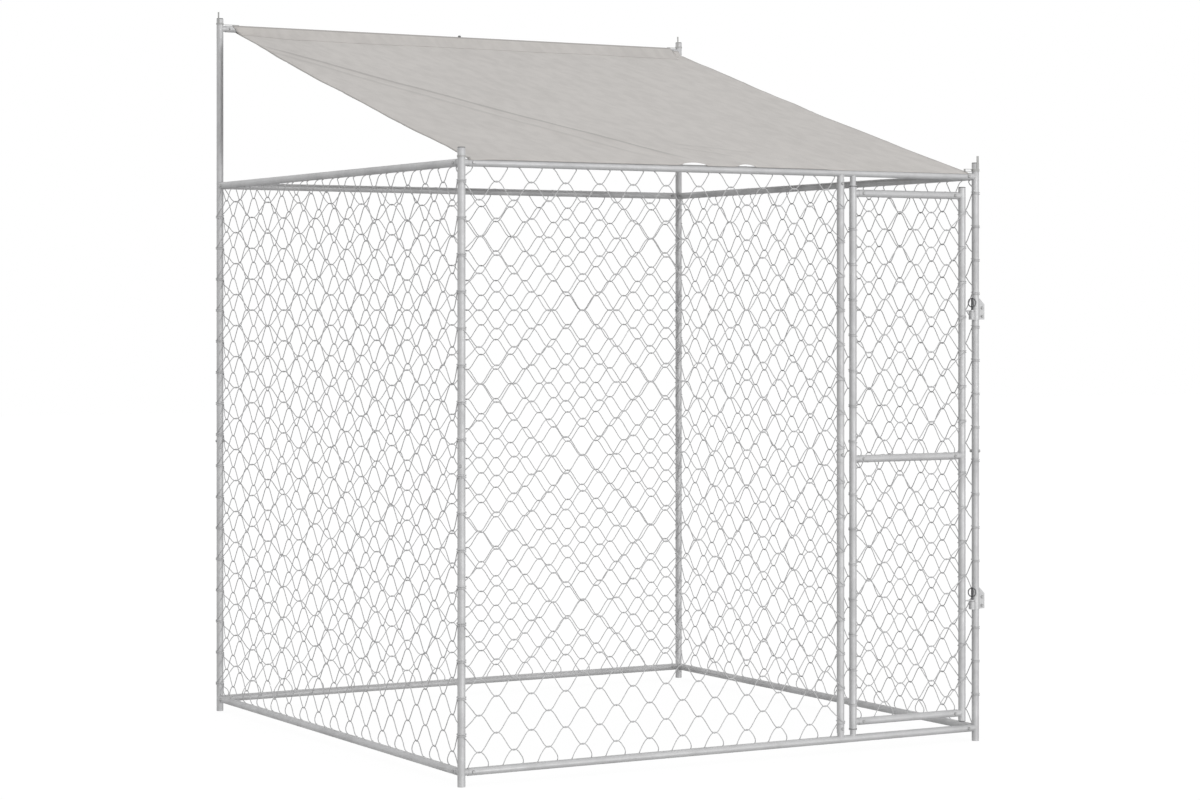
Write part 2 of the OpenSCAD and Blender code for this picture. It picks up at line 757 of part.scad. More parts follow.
// The latch stile carries an eye for each drop pin, welded on
module door_latch_stile() {
  eye_at = [latch_gap - pin_off, -pin_fwd, 0];
  color(GALVANISED) translate([latch_x, front_y, 0]) difference() {
    union() {
      rod_z(tube_d, latch_z0 + cap_t, latch_z1 - cap_t);
      for (z = door_rail_zs) translate([0, 0, z]) rotate(AGAINST_X) stub_body();
      for (z = latch_zs) translate([0, 0, z + eye_z]) {
        rotate(atan2(eye_at[1], eye_at[0])) rod_x(eye_shank, 0, norm(eye_at));
        translate(eye_at) cylinder(d = eye_d, h = eye_h, center = true);
      }
    }
    rod_z(bore_d, latch_z0, latch_z1);
    for (z = door_rail_zs) translate([0, 0, z]) rotate(AGAINST_X) stub_cut();
    for (z = latch_zs) translate(eye_at + [0, 0, z + eye_z])
      cylinder(d = pin_d + 2 * pin_play, h = 2 * eye_h, center = true);
  }
}

module door_rail(z) color(GALVANISED) translate([hinge_x, front_y, z]) rail(door_w);

module door_bottom_rail() door_rail(door_low_z);
module door_middle_rail() door_rail(door_mid_z);
module door_top_rail() door_rail(door_top_z);

module door_caps() {
  color(DARK_PLASTIC) translate([latch_x, front_y, 0]) {
    translate([0, 0, latch_z1 - cap_t]) tube_cap();
    translate([0, 0, latch_z0 + cap_t]) mirror([0, 0, 1]) tube_cap();
  }
}

door_bolt_places = [
  for (x = [hinge_x + bolt_from_tube, latch_x - bolt_from_tube], z = door_rail_zs) [x, front_y, z]
];

module door_bolts() color(BRIGHT_ZINC) for (p = door_bolt_places) translate(p) bolt(tube_r);
module door_nuts() color(BRIGHT_ZINC) for (p = door_bolt_places) translate(p) nut(tube_r);

// Flanged bushes in the hinge stile's ends, the flange at z = 0 and below
module hinge_bush() {
  color(DARK_PLASTIC) difference() {
    union() {
      rod_z(bore_d - 2 * bush_play, -bush_flange_t, bush_len);
      rod_z(bush_flange_d, -bush_flange_t, 0);
    }
    rod_z(pivot_d + 2 * pivot_play, -bush_flange_t - 1, bush_len + 1);
  }
}

module hinge_bush_bottom() translate([hinge_x, front_y, stile_z0]) hinge_bush();
module hinge_bush_top() translate([hinge_x, front_y, stile_z1]) mirror([0, 0, 1]) hinge_bush();

front_left_post_lower();
front_left_post_upper();
front_right_post_lower();
front_right_post_upper();
back_left_post_lower();
back_left_post_upper();
back_right_post_lower();
back_right_post_upper();
door_post_lower();
door_post_upper();
front_bottom_rail();
front_top_rail();
back_bottom_rail();
back_top_rail();
roof_rail();
left_bottom_rail();
left_top_rail();
right_bottom_rail();
right_top_rail();
post_caps();
frame_bolts();
frame_nuts();
front_net();
left_net();
right_net();
back_net();
roof_cloth();
roof_ties();
lower_latch_clamp();
upper_latch_clamp();
latch_bolts();
latch_nuts();
door_hinge_stile();
door_latch_stile();
door_bottom_rail();
door_middle_rail();
door_top_rail();
door_caps();
door_bolts();
door_nuts();
door_lower_net();
door_upper_net();
hinge_bush_bottom();
hinge_bush_top();
lower_latch_pin();
upper_latch_pin();
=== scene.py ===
"""Dresses the outdoor dog kennel run: wire, cloth, finishes, light and the photo's camera."""

import json
import logging
import math
from dataclasses import dataclass, field
from enum import Enum
from typing import Any, Iterable, Sequence

import bpy
import numpy as np
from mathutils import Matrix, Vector, noise


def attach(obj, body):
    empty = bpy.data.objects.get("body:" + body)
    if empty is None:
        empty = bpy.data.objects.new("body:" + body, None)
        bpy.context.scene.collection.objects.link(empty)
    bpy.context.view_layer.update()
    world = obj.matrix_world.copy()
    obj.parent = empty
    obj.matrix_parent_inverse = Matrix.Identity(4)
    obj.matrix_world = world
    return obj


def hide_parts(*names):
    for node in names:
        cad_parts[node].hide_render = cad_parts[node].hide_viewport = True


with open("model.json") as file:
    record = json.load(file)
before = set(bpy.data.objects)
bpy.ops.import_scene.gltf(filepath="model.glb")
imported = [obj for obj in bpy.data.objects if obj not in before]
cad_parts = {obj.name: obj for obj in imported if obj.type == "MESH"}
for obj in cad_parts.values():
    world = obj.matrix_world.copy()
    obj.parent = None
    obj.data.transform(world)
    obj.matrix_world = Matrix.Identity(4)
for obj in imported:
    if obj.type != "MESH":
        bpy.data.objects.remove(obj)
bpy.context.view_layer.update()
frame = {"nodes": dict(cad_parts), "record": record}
LOG = logging.getLogger("kennel")

Rgb = tuple[float, float, float]
Point = tuple[float, float, float]
Pair = tuple[float, float]

WHITE = (1.0, 1.0, 1.0, 1.0)

# The axes of the CAD model's tubes and pins, and the tubes' radius, in metres
LEFT_X, RIGHT_X = -0.9975, 0.9775
FRONT_Y, BACK_Y = -0.985021, 0.989979
DOOR_POST_X, HINGE_X, LATCH_X = 0.4195, 0.4695, 0.9205
PIN_X, PIN_Y = 0.9565, -0.994521
BOTTOM_Z, TOP_Z, ROOF_Z = 0.045, 1.937, 2.517
DOOR_LOW_Z, DOOR_MID_Z, DOOR_TOP_Z = 0.100, 0.980, 1.870
TUBE_R = 0.0125

# Heights that the latch clamps take up on the front right post
CLAMP_SPANS = ((0.448, 0.530), (1.441, 1.523))

# The net wire's radius, its gap to the tubes that it goes round, and the columns and rows of bends
WIRE_R, WIRE_GAP = 0.0016, 0.0002
FRONT_NET, WALL_NET, DOOR_NET = (23, 33), (31, 33), (7, 15)


class Body(Enum):
    """The CAD bodies that pieces ride on."""

    FRAME = "frame"
    DOOR = "door"


class Side(Enum):
    """How a panel's own length and depth lie in plan: along X or along Y."""

    ALONG_X = 0
    ALONG_Y = 1


def held(value: float) -> float:
    """The value held between 0 and 1."""
    return min(1.0, max(0.0, value))


def eased(share: float) -> float:
    """A smooth step from 0 to 1."""
    done = held(share)
    return done * done * (3.0 - 2.0 * done)


def bell(offset: float, spread: float) -> float:
    """A rounded ridge: 1 in its middle, and next to nothing at twice its spread."""
    return math.exp(-((offset / spread) ** 2))


def rounded(first: np.ndarray, tip: np.ndarray, last: np.ndarray, t: float) -> np.ndarray:
    """A point of the curve that rounds off a corner, t from 0 to 1 along it."""
    return (1 - t) ** 2 * first + 2 * t * (1 - t) * tip + t ** 2 * last


class Flow:
    """A shader socket that can be used in Python arithmetic."""

    def __init__(self, recipe: "Recipe", socket: bpy.types.NodeSocket) -> None:
        """Keeps the recipe that owns the socket, so that operators can add nodes."""
        self.recipe = recipe
        self.socket = socket

    def _math(self, operation: str, *values: Any, clamp: bool = False) -> "Flow":
        """Adds one Math node.

        Args:
            operation: Blender's name of the operation.
            values: flows or numbers, in the node's order.
            clamp: whether the result stays between 0 and 1.

        Returns:
            The node's value.
        """
        settings = {"operation": operation, "use_clamp": clamp}
        return self.recipe.make("ShaderNodeMath", settings, dict(enumerate(values)))

    def __add__(self, other: Any) -> "Flow":
        """Sum."""
        return self._math("ADD", self, other)

    __radd__ = __add__

    def __sub__(self, other: Any) -> "Flow":
        """Difference."""
        return self._math("SUBTRACT", self, other)

    def __rsub__(self, other: Any) -> "Flow":
        """Difference from a number."""
        return self._math("SUBTRACT", other, self)

    def __mul__(self, other: Any) -> "Flow":
        """Product."""
        return self._math("MULTIPLY", self, other)

    __rmul__ = __mul__

    def __truediv__(self, other: Any) -> "Flow":
        """Quotient."""
        return self._math("DIVIDE", self, other)

    def __rtruediv__(self, other: Any) -> "Flow":
        """Quotient of a number."""
        return self._math("DIVIDE", other, self)

    def __pow__(self, other: Any) -> "Flow":
        """Power."""
        return self._math("POWER", self, other)

    def most(self, other: Any) -> "Flow":
        """The larger of two values."""
        return self._math("MAXIMUM", self, other)

    def size(self) -> "Flow":
        """The value without its sign."""
        return self._math("ABSOLUTE", self)

    def clamped(self) -> "Flow":
        """The value held between 0 and 1."""
        return self._math("ADD", self, 0.0, clamp=True)

    def band(self, low: float, high: float) -> "Flow":
        """A smooth step from 0 at low to 1 at high."""
        settings = {"interpolation_type": "SMOOTHSTEP"}
        sockets = {"Value": self, "From Min": low, "From Max": high}
        return self.recipe.make("ShaderNodeMapRange", settings, sockets)


class Recipe:
    """A material's node tree, with one method that makes every node."""

    def __init__(self, tree: bpy.types.NodeTree) -> None:
        """Empties the tree."""
        self.tree = tree
        tree.nodes.clear()

    def make(self, kind: str, settings: dict | None = None, sockets: dict | None = None,
             out: int | str = 0) -> Flow:
        """Makes a node, sets it and links it.

        Args:
            kind: the node's type.
            settings: attributes that are set first.
            sockets: values or flows by socket name or number.
            out: the output that is returned, by name or number.

        Returns:
            The chosen output.
        """
        node = self.tree.nodes.new(kind)
        for key, value in (settings or {}).items():
            setattr(node, key, value)
        for key, value in (sockets or {}).items():
            if isinstance(value, Flow):
                self.tree.links.new(value.socket, node.inputs[key])
            else:
                node.inputs[key].default_value = value
        return Flow(self, node.outputs[out]) if len(node.outputs) else Flow(self, node.inputs[0])

    def place(self) -> Flow:
        """The point on the piece, in metres."""
        return self.make("ShaderNodeTexCoord", out="Object")

    def grain(self, place: Flow, scale: float, detail: float = 2.0) -> Flow:
        """A noise value around 0.5.

        Args:
            place: where it is read.
            scale: features a metre.
            detail: octaves.

        Returns:
            The value.
        """
        sockets = {"Vector": place, "Scale": scale, "Detail": detail}
        return self.make("ShaderNodeTexNoise", None, sockets)

    def vector(self, operation: str, *values: Any, out: int | str = 0) -> Flow:
        """Adds one Vector Math node.

        Args:
            operation: Blender's name of the operation.
            values: flows or triples, in the node's order.
            out: the output that is returned, by name or number.

        Returns:
            The chosen output.
        """
        settings = {"operation": operation}
        return self.make("ShaderNodeVectorMath", settings, dict(enumerate(values)), out)

    def stretched(self, place: Flow, scale: Point) -> Flow:
        """The place scaled unevenly, for streaks."""
        return self.vector("MULTIPLY", place, scale)

    def beyond(self, place: Flow, foot: Point, direction: Point) -> Flow:
        """How far the place lies from a foot point, measured along a direction."""
        moved = self.vector("SUBTRACT", place, foot)
        return self.vector("DOT_PRODUCT", moved, direction, out="Value")

    def off_axis(self, place: Flow, x: float, y: float) -> Flow:
        """Distance of the place from an upright axis."""
        level = self.stretched(self.vector("SUBTRACT", place, (x, y, 0.0)), (1.0, 1.0, 0.0))
        return self.vector("LENGTH", level, out="Value")

    @staticmethod
    def blend(marks: Sequence[Flow], shares: Sequence[float]) -> Flow:
        """The sum of marks, each by its share."""
        return sum(crease_shade * share for crease_shade, share in zip(marks, shares))

    def mixed(self, factor: Flow, low: Any, high: Any) -> Flow:
        """A colour between two.

        Args:
            factor: 0 gives low and 1 gives high.
            low: a colour or a flow.
            high: a colour or a flow.

        Returns:
            The mixed colour.
        """
        def full(colour: Any) -> Any:
            """The colour with its alpha, or the flow as it is."""
            return colour if isinstance(colour, Flow) else (*colour, 1.0)

        sockets = {0: factor, 6: full(low), 7: full(high)}
        return self.make("ShaderNodeMix", {"data_type": "RGBA"}, sockets, out=2)

    def seen(self) -> Flow:
        """1 for rays that see the background: from the camera, a reflection or through glass."""
        camera = self.make("ShaderNodeLightPath", None, None, out="Is Camera Ray")
        glossy = self.make("ShaderNodeLightPath", None, None, out="Is Glossy Ray")
        through = self.make("ShaderNodeLightPath", None, None, out="Is Transmission Ray")
        return camera.most(glossy).most(through)

    def bump(self, height: Flow, strength: float, distance: float) -> Flow:
        """A normal from a height."""
        sockets = {"Strength": strength, "Distance": distance, "Height": height}
        return self.make("ShaderNodeBump", None, sockets, out="Normal")

    def surface(self, sockets: dict) -> None:
        """Ends the tree in one Principled shader."""
        shader = self.make("ShaderNodeBsdfPrincipled", None, sockets)
        self.make("ShaderNodeOutputMaterial", None, {"Surface": shader})


@dataclass(frozen=True)
class Finish:
    """A named finish; each kind writes its own nodes."""

    name: str

    def write(self, recipe: Recipe) -> None:
        """Writes the finish into an empty tree."""
        raise NotImplementedError

    def material(self) -> bpy.types.Material:
        """The finish's material, made once, apart from the plain one that the frame brings."""
        name = f"{self.name}_finish"
        made = bpy.data.materials.get(name)
        if made is None:
            made = bpy.data.materials.new(name)
            made.use_nodes = True
            self.write(Recipe(made.node_tree))
        return made

    def dress(self, piece: bpy.types.Object) -> None:
        """Gives a piece this finish alone."""
        piece.data.materials.clear()
        piece.data.materials.append(self.material())


@dataclass(frozen=True)
class Mottle:
    """Uneven marks: features a metre, octaves, noise where they start and are full, and stretch."""

    scale: float
    detail: float
    start: float
    full: float
    stretch: Point = (1.0, 1.0, 1.0)

    def over(self, recipe: Recipe, place: Flow) -> Flow:
        """The marks on a surface, from 0 to 1."""
        grain = recipe.grain(recipe.stretched(place, self.stretch), self.scale, self.detail)
        return grain.band(self.start, self.full)


@dataclass(frozen=True)
class GalvanisedFinish(Finish):
    """Hot-dipped zinc: a faint spangle, dull patches and a fine grain."""

    colour: Rgb = (0.65, 0.65, 0.655)
    dull: Rgb = (0.55, 0.55, 0.555)
    spangle: float = 95.0
    metallic: float = 0.25
    roughness: float = 0.45
    patches: Mottle = Mottle(9.0, 4.0, 0.35, 0.75)
    grain: float = 900.0
    # Shares of patches, spangle and grain in the dull tone, and of spangle and grain in the relief
    tones: tuple[float, ...] = (0.55, 0.30, 0.15)
    heights: Pair = (0.4, 0.6)
    # How much rougher patches and spangle are, and the relief's strength and depth
    rougher: Pair = (0.14, 0.06)
    relief: Pair = (0.12, 0.0004)

    def write(self, recipe: Recipe) -> None:
        """Writes the finish into an empty tree."""
        place = recipe.place()
        cells = recipe.make("ShaderNodeTexVoronoi", {"feature": "F1"},
                            {"Vector": place, "Scale": self.spangle}, out="Color")
        facet = recipe.make("ShaderNodeSeparateColor", None, {"Color": cells})
        patches = self.patches.over(recipe, place)
        fine = recipe.grain(place, self.grain)
        tone = recipe.blend((patches, facet, fine), self.tones).clamped()
        recipe.surface({
            "Base Color": recipe.mixed(tone, self.colour, self.dull),
            "Metallic": self.metallic,
            "Roughness": self.roughness + recipe.blend((patches, facet), self.rougher),
            "Normal": recipe.bump(recipe.blend((facet, fine), self.heights), *self.relief),
        })


@dataclass(frozen=True)
class PlasticFinish(Finish):
    """Moulded plastic with a fine grain and rubbed high spots."""

    colour: Rgb
    rubbed: Rgb
    roughness: float = 0.55
    wear: Mottle = Mottle(130.0, 4.0, 0.5, 0.8)
    grain: float = 1600.0
    # How much rougher the grain and the wear are, and the relief's strength and depth
    rougher: Pair = (0.10, -0.12)
    relief: Pair = (0.2, 0.0003)

    def write(self, recipe: Recipe) -> None:
        """Writes the finish into an empty tree."""
        place = recipe.place()
        grain = recipe.grain(place, self.grain)
        worn = self.wear.over(recipe, place)
        recipe.surface({
            "Base Color": recipe.mixed(worn, self.colour, self.rubbed),
            "Roughness": self.roughness + recipe.blend((grain, worn), self.rougher),
            "Normal": recipe.bump(grain, *self.relief),
        })


@dataclass(frozen=True)
class PinFinish(Finish):
    """Blackened steel, darkest on the pin, worn where it rubs."""

    colour: Rgb = (0.055, 0.055, 0.06)
    bare: Rgb = (0.32, 0.32, 0.33)
    loop: Rgb = (0.20, 0.20, 0.205)
    # Distances from the pin's axis where the pin's colour ends and the loop's is full
    core: Pair = (0.0032, 0.0048)
    wear: Mottle = Mottle(260.0, 4.0, 0.58, 0.78, (1.0, 1.0, 0.25))
    grain: float = 1200.0
    metallic: float = 0.35
    worn_metallic: float = 0.30
    roughness: float = 0.50
    # How much rougher the wear and the grain are, and the relief's strength and depth
    rougher: Pair = (-0.15, 0.08)
    relief: Pair = (0.15, 0.0003)

    def write(self, recipe: Recipe) -> None:
        """Writes the finish into an empty tree."""
        place = recipe.place()
        worn = self.wear.over(recipe, place)
        fine = recipe.grain(place, self.grain)
        off_pin = recipe.off_axis(place, PIN_X, PIN_Y).band(*self.core)
        pin = recipe.mixed(worn, self.colour, self.bare)
        loop = recipe.mixed(worn, self.loop, self.bare)
        recipe.surface({
            "Base Color": recipe.mixed(off_pin, pin, loop),
            "Metallic": self.metallic + worn * self.worn_metallic,
            "Roughness": self.roughness + recipe.blend((worn, fine), self.rougher),
            "Normal": recipe.bump(fine, *self.relief),
        })


@dataclass(frozen=True)
class Fold:
    """A crease in the roof cloth, between places given as x and share of the way up the slope."""

    start: Pair
    end: Pair
    height: float
    spread: float
    # How dark the painted shade along the crease is
    crease_shade: float
    # Shares of the length over which the crease and its painted shade fade out, and of the spread where
    # that shade is full
    fade: float = 0.125
    line_fade: float = 0.12
    line_core: float = 0.3

    @staticmethod
    def plan(place: Pair) -> Pair:
        """The place in plan."""
        return place[0], FRONT_Y + place[1] * (BACK_Y - FRONT_Y)

    @property
    def length(self) -> float:
        """Length in plan."""
        return math.dist(self.plan(self.start), self.plan(self.end))

    @property
    def along(self) -> Point:
        """Unit direction of the crease in plan."""
        (x0, y0), (x1, y1) = self.plan(self.start), self.plan(self.end)
        return (x1 - x0) / self.length, (y1 - y0) / self.length, 0.0

    @property
    def across(self) -> Point:
        """Unit direction square to the crease in plan."""
        return -self.along[1], self.along[0], 0.0

    def lift(self, x: float, t: float) -> float:
        """Height of the crease at a place of the cloth."""
        x0, y0 = self.plan(self.start)
        x1, y1 = self.plan((x, t))
        run = ((x1 - x0) * self.along[0] + (y1 - y0) * self.along[1]) / self.length
        off = (x1 - x0) * self.across[0] + (y1 - y0) * self.across[1]
        ends = held(run / self.fade) * held((1.0 - run) / self.fade)
        return self.height * ends * bell(off, self.spread)

    def line(self, recipe: Recipe, place: Flow) -> Flow:
        """Painted shade along the crease, from 0 to its strength."""
        foot = (*self.plan(self.start), 0.0)
        off = recipe.beyond(place, foot, self.across).size()
        run = recipe.beyond(place, foot, self.along)
        fade = self.line_fade * self.length
        ends = run.band(0.0, fade) * run.band(self.length, self.length - fade)
        return off.band(self.spread, self.line_core * self.spread) * ends * self.crease_shade


# Creases: start, end, height, spread, and the strength of the painted shade along them
ROOF_FOLDS = (
    Fold((-0.098, -0.005), (-0.960, 0.930), 0.0042, 0.016, 0.75),
    Fold((-0.228, 0.000), (-0.985, 0.910), 0.0024, 0.018, 0.35),
    Fold((-0.060, 0.160), (0.240, 0.103), 0.0014, 0.018, 0.25),
    Fold((-0.060, 0.129), (0.090, 0.069), 0.0014, 0.016, 0.30),
)

# The roof cloth's edges, as places across the roof at the front and at the back
CLOTH_LEFT = (LEFT_X + 0.020, LEFT_X + 0.066)
CLOTH_RIGHT = (RIGHT_X - 0.036, RIGHT_X + 0.012)


@dataclass(frozen=True)
class ClothFinish(Finish):
    """Coated woven cloth: a plain weave, faint dirt, and painted shade in the creases, in the weave's
    gaps, along the side hems and on the sleeve's top.
    """

    colour: Rgb = (0.640, 0.612, 0.586)
    shade: Rgb = (0.530, 0.506, 0.484)
    # The colour of the painted shade in the creases, on the sleeve's top and along the side hems
    dark: Rgb = (0.400, 0.382, 0.366)
    thread: float = 0.0016
    waver: float = 0.4
    stains: Mottle = Mottle(3.2, 5.0, 0.42, 0.82, (1.0, 0.35, 1.0))
    clouds: Mottle = Mottle(26.0, 5.0, 0.30, 0.75, (1.0, 0.4, 0.4))
    slubs: Mottle = Mottle(420.0, 2.0, 0.5, 0.9, (0.15, 1.0, 1.0))
    # Shares of stains, clouds, slubs and painted shade in the weave's gaps in the tone, and of threads
    # and slubs in the relief
    tones: tuple[float, ...] = (0.35, 0.55, 0.15, 0.10)
    heights: Pair = (0.6, 0.4)
    relief: Pair = (0.25, 0.0006)
    roughness: float = 0.78
    thread_rough: float = 0.10
    sheen: float = 0.12
    # The painted shade along the side hems: its width and strength, and how far below the roof rail's
    # axis it ends
    hem: float = 0.012
    hem_shade_strength: float = 0.65
    hem_stop: float = 0.010
    # The painted shade on top of the sleeve, where it turns away from the light: how far over the roof
    # rail's axis it starts, and its strength
    sleeve_top: float = 0.006
    sleeve_shade_strength: float = 0.85
    mark_fade: float = 0.004

    def hem_shade(self, recipe: Recipe, place: Flow, edge: Pair, inwards: float) -> Flow:
        """Painted shade along the double hem at a side edge.

        Args:
            recipe: the tree that it is written into.
            place: the point on the cloth.
            edge: the edge's places at the front and at the back.
            inwards: 1 where the cloth lies to the right of the edge, and -1 to its left.

        Returns:
            A value from 0 to the hem's shade strength.
        """
        run = (edge[1] - edge[0]) / (BACK_Y - FRONT_Y)
        size = math.hypot(1.0, run)
        across = (inwards / size, -inwards * run / size, 0.0)
        off = recipe.beyond(place, (edge[0], FRONT_Y, 0.0), across)
        below = recipe.beyond(place, (0.0, 0.0, ROOF_Z - self.hem_stop), (0.0, 0.0, -1.0))
        return off.band(self.hem, 0.5 * self.hem) * below.band(0.0, self.mark_fade) * self.hem_shade_strength

    def threads(self, recipe: Recipe, place: Flow, axis: str) -> Flow:
        """The rounded threads that lie side by side along an axis."""
        settings = {"bands_direction": axis, "wave_profile": "SIN"}
        sockets = {"Vector": place, "Scale": 1.0 / self.thread, "Distortion": self.waver, "Detail": 1.0}
        return recipe.make("ShaderNodeTexWave", settings, sockets, out=1)

    def painted_shade(self, recipe: Recipe, place: Flow) -> Flow:
        """Painted shade in the creases, on the sleeve's top and along both side hems."""
        above = recipe.beyond(place, (0.0, 0.0, ROOF_Z + self.sleeve_top), (0.0, 0.0, 1.0))
        painted_shade = above.band(0.0, self.mark_fade) * self.sleeve_shade_strength
        for fold in ROOF_FOLDS:
            painted_shade = painted_shade.most(fold.line(recipe, place))
        for edge, inwards in ((CLOTH_LEFT, 1.0), (CLOTH_RIGHT, -1.0)):
            painted_shade = painted_shade.most(self.hem_shade(recipe, place, edge, inwards))
        return painted_shade

    def write(self, recipe: Recipe) -> None:
        """Writes the finish into an empty tree."""
        place = recipe.place()
        weave = (self.threads(recipe, place, "X") + self.threads(recipe, place, "Y")) * 0.5
        stains, clouds, slubs = (m.over(recipe, place) for m in (self.stains, self.clouds, self.slubs))
        # 1 - weave paints shade into the gaps between the threads
        tone = recipe.blend((stains, clouds, slubs, 1 - weave), self.tones).clamped()
        woven = recipe.mixed(tone, self.colour, self.shade)
        recipe.surface({
            # Painted shade in the creases, on the sleeve's top and along the side hems darkens the base
            # colour
            "Base Color": recipe.mixed(self.painted_shade(recipe, place), woven, self.dark),
            "Roughness": self.roughness + weave * self.thread_rough,
            "Sheen Weight": self.sheen,
            "Normal": recipe.bump(recipe.blend((weave, slubs), self.heights), *self.relief),
        })


@dataclass(frozen=True)
class FloorFinish(Finish):
    """A pale floor: nearly white with a soft shadow where it is seen, and darker to bounced light."""

    colour: Rgb = (0.92, 0.92, 0.92)
    bounce: Rgb = (0.18, 0.18, 0.18)
    lit: float = 0.88
    white: float = 1.06

    def write(self, recipe: Recipe) -> None:
        """Writes the finish into an empty tree."""
        pale = recipe.make("ShaderNodeBsdfDiffuse", None, {"Color": (*self.colour, 1.0)})
        matte = recipe.make("ShaderNodeBsdfDiffuse", None, {"Color": (*self.bounce, 1.0)})
        glow = recipe.make("ShaderNodeEmission", None, {"Color": WHITE, "Strength": self.white})
        shown = recipe.make("ShaderNodeMixShader", None, {0: self.lit, 1: pale, 2: glow})
        floor = recipe.make("ShaderNodeMixShader", None, {0: recipe.seen(), 1: matte, 2: shown})
        recipe.make("ShaderNodeOutputMaterial", None, {"Surface": floor})


TUBE_FINISH = GalvanisedFinish("galvanised_tube")
WIRE_FINISH = GalvanisedFinish("galvanised_wire", (0.63, 0.63, 0.635), (0.54, 0.54, 0.545),
                               spangle=260.0, roughness=0.5)
BOLT_FINISH = GalvanisedFinish("zinc_fasteners", (0.50, 0.50, 0.50), (0.38, 0.38, 0.38),
                               spangle=420.0, metallic=0.5, roughness=0.38)
LATCH_FINISH = GalvanisedFinish("latch_steel", (0.64, 0.64, 0.645), (0.53, 0.53, 0.535),
                                spangle=150.0, metallic=0.3, roughness=0.44)
CAP_FINISH = PlasticFinish("cap_plastic", (0.17, 0.17, 0.175), (0.25, 0.25, 0.255))
BUSH_FINISH = PlasticFinish("bush_plastic", (0.05, 0.05, 0.053), (0.09, 0.09, 0.093))
TIE_FINISH = PlasticFinish("tie_plastic", (0.50, 0.50, 0.49), (0.58, 0.58, 0.57), roughness=0.45)
PIN_FINISH = PinFinish("dark_pin")
CLOTH_FINISH = ClothFinish("roof_fabric")
FLOOR_FINISH = FloorFinish("studio_floor")


def new_piece(name: str, points: np.ndarray, faces: Iterable[Sequence[int]]) -> bpy.types.Object:
    """Makes a smooth-shaded mesh piece.

    Args:
        name: the piece's name.
        points: its points, in the CAD frame.
        faces: its faces, by point number.

    Returns:
        The piece, linked into the scene.
    """
    mesh = bpy.data.meshes.new(name)
    mesh.from_pydata(points.tolist(), [], [list(f) for f in faces])
    mesh.validate()
    mesh.shade_smooth()
    piece = bpy.data.objects.new(name, mesh)
    bpy.context.scene.collection.objects.link(piece)
    return piece


def swept(path: np.ndarray, radius: float, sides: int,
          first: int) -> tuple[np.ndarray, list[list[int]]]:
    """Sweeps a round wire along a path.

    Args:
        path: the centre line's points.
        radius: the wire's radius.
        sides: points round the wire.
        first: the number of the first new point.

    Returns:
        The wire's points and its faces, both ends closed.
    """
    tangent = np.gradient(path, axis=0)
    tangent /= np.linalg.norm(tangent, axis=1, keepdims=True)
    normal = np.zeros_like(path)
    start = np.cross(tangent[0], (0.0, 0.0, 1.0))
    if np.linalg.norm(start) < 0.1:
        start = np.cross(tangent[0], (1.0, 0.0, 0.0))
    normal[0] = start / np.linalg.norm(start)
    for i in range(1, len(path)):
        carried = normal[i - 1] - tangent[i] * np.dot(normal[i - 1], tangent[i])
        normal[i] = carried / np.linalg.norm(carried)
    across = np.cross(tangent, normal)
    turn = np.linspace(0.0, 2.0 * math.pi, sides, endpoint=False)
    ring = (normal[:, None, :] * np.cos(turn)[None, :, None]
            + across[:, None, :] * np.sin(turn)[None, :, None])
    points = (path[:, None, :] + radius * ring).reshape(-1, 3)
    faces = []
    for i in range(len(path) - 1):
        a, b = first + i * sides, first + (i + 1) * sides
        faces += [[a + j, a + (j + 1) % sides, b + (j + 1) % sides, b + j] for j in range(sides)]
    last = first + (len(path) - 1) * sides
    faces.append([first + j for j in reversed(range(sides))])
    faces.append([last + j for j in range(sides)])
    return points, faces


